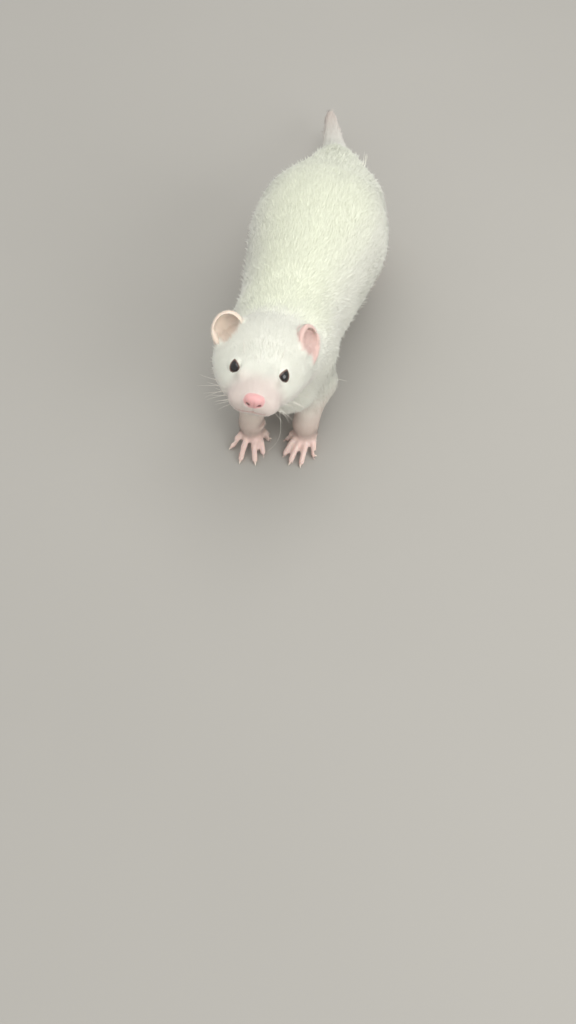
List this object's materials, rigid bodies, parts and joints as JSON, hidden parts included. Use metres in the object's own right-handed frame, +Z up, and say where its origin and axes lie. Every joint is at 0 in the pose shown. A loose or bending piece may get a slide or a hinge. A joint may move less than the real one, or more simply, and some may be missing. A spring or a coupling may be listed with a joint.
{
  "type": "ferret",
  "caption": "Ferret standing with its head raised and its tail laid out behind, a still life-size animal model for museum cases, games and renders.",
  "frame": {"origin": "on the floor, under the middle of the whole animal", "axes": "the animal faces -Y, its left side is towards +X and +Z is up"},
  "size_m": [0.0924, 0.3404, 0.117],
  "materials": {
    "coat": "short plush fur",
    "face": "short flat fur",
    "nose": "bare skin, slightly moist",
    "ear": "thin skin with a fine down",
    "paw": "skin with very short fur",
    "eye": "clear and wet"
  },
  "bodies": {
    "root": {"head": "face", "nose": "nose", "eye_right": "eye", "eye_left": "eye", "ear_right": "ear", "ear_left": "ear", "neck": "coat", "torso": "coat", "tail": "coat", "foreleg_right": "coat", "foreleg_left": "coat", "forepaw_right": "paw", "forepaw_left": "paw", "hindleg_right": "coat", "hindleg_left": "coat", "hindpaw_right": "paw", "hindpaw_left": "paw"}
  },
  "joints": []
}
